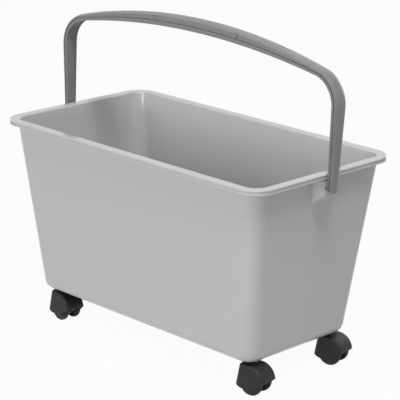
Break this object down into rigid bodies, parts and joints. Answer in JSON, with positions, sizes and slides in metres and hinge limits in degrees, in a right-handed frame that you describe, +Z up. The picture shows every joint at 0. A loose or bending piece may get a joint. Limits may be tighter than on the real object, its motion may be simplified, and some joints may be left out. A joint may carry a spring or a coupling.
{
  "type": "bucket on castors",
  "caption": "Rectangular plastic cleaning bucket with a flanged rim, an arched swinging handle and hooded swivel castors.",
  "frame": {"origin": "on the floor, under the middle of the bucket", "axes": "+X along the bucket's length, -Y towards its front, +Z up"},
  "size_m": [0.5048, 0.261, 0.441],
  "materials": {
    "tub_plastic": "satin moulded",
    "handle_plastic": "satin moulded",
    "castor_plastic": "fine moulded grain",
    "wheel_plastic": "fine moulded grain",
    "steel": "zinc plated"
  },
  "bodies": {
    "tub": {"bucket_tub": "tub_plastic", "castor_stem_front_left": "steel", "grip_ring_front_left": "steel", "retaining_ring_front_left": "steel", "castor_stem_front_right": "steel", "grip_ring_front_right": "steel", "retaining_ring_front_right": "steel", "castor_stem_rear_left": "steel", "grip_ring_rear_left": "steel", "retaining_ring_rear_left": "steel", "castor_stem_rear_right": "steel", "grip_ring_rear_right": "steel", "retaining_ring_rear_right": "steel"},
    "handle": {"bail_handle": "handle_plastic"},
    "swivel_front_left": {"castor_hood_front_left": "castor_plastic", "castor_axle_front_left": "steel"},
    "left_wheel_front_left": {"left_wheel_front_left": "wheel_plastic"},
    "right_wheel_front_left": {"right_wheel_front_left": "wheel_plastic"},
    "swivel_front_right": {"castor_hood_front_right": "castor_plastic", "castor_axle_front_right": "steel"},
    "left_wheel_front_right": {"left_wheel_front_right": "wheel_plastic"},
    "right_wheel_front_right": {"right_wheel_front_right": "wheel_plastic"},
    "swivel_rear_left": {"castor_hood_rear_left": "castor_plastic", "castor_axle_rear_left": "steel"},
    "left_wheel_rear_left": {"left_wheel_rear_left": "wheel_plastic"},
    "right_wheel_rear_left": {"right_wheel_rear_left": "wheel_plastic"},
    "swivel_rear_right": {"castor_hood_rear_right": "castor_plastic", "castor_axle_rear_right": "steel"},
    "left_wheel_rear_right": {"left_wheel_rear_right": "wheel_plastic"},
    "right_wheel_rear_right": {"right_wheel_rear_right": "wheel_plastic"}
  },
  "joints": [
    {"name": "handle_swing", "type": "hinge", "parent": "tub", "child": "handle", "pos_m": [0, 0, 0.2687], "axis": [1, 0, 0], "range_deg": [-113.9, 116.1]},
    {"name": "swivel_front_left", "type": "hinge", "parent": "tub", "child": "swivel_front_left", "pos_m": [-0.1805, -0.0743, 0.03], "axis": [0, 0, 1], "continuous": true},
    {"name": "left_wheel_spin_front_left", "type": "hinge", "parent": "swivel_front_left", "child": "left_wheel_front_left", "pos_m": [-0.16853, -0.07514, 0.0167], "axis": [0.0698, 0.9976, 0], "continuous": true},
    {"name": "right_wheel_spin_front_left", "type": "hinge", "parent": "swivel_front_left", "child": "right_wheel_front_left", "pos_m": [-0.16853, -0.07514, 0.0167], "axis": [0.0698, 0.9976, 0], "continuous": true},
    {"name": "swivel_front_right", "type": "hinge", "parent": "tub", "child": "swivel_front_right", "pos_m": [0.1805, -0.0743, 0.03], "axis": [0, 0, 1], "continuous": true},
    {"name": "left_wheel_spin_front_right", "type": "hinge", "parent": "swivel_front_right", "child": "left_wheel_front_right", "pos_m": [0.19241, -0.07284, 0.0167], "axis": [-0.1219, 0.9925, 0], "continuous": true},
    {"name": "right_wheel_spin_front_right", "type": "hinge", "parent": "swivel_front_right", "child": "right_wheel_front_right", "pos_m": [0.19241, -0.07284, 0.0167], "axis": [-0.1219, 0.9925, 0], "continuous": true},
    {"name": "swivel_rear_left", "type": "hinge", "parent": "tub", "child": "swivel_rear_left", "pos_m": [-0.1805, 0.0743, 0.03], "axis": [0, 0, 1], "continuous": true},
    {"name": "left_wheel_spin_rear_left", "type": "hinge", "parent": "swivel_rear_left", "child": "left_wheel_rear_left", "pos_m": [-0.16855, 0.07535, 0.0167], "axis": [-0.0872, 0.9962, 0], "continuous": true},
    {"name": "right_wheel_spin_rear_left", "type": "hinge", "parent": "swivel_rear_left", "child": "right_wheel_rear_left", "pos_m": [-0.16855, 0.07535, 0.0167], "axis": [-0.0872, 0.9962, 0], "continuous": true},
    {"name": "swivel_rear_right", "type": "hinge", "parent": "tub", "child": "swivel_rear_right", "pos_m": [0.1805, 0.0743, 0.03], "axis": [0, 0, 1], "continuous": true},
    {"name": "left_wheel_spin_rear_right", "type": "hinge", "parent": "swivel_rear_right", "child": "left_wheel_rear_right", "pos_m": [0.1923, 0.07649, 0.0167], "axis": [-0.1822, 0.9833, 0], "continuous": true},
    {"name": "right_wheel_spin_rear_right", "type": "hinge", "parent": "swivel_rear_right", "child": "right_wheel_rear_right", "pos_m": [0.1923, 0.07649, 0.0167], "axis": [-0.1822, 0.9833, 0], "continuous": true}
  ]
}
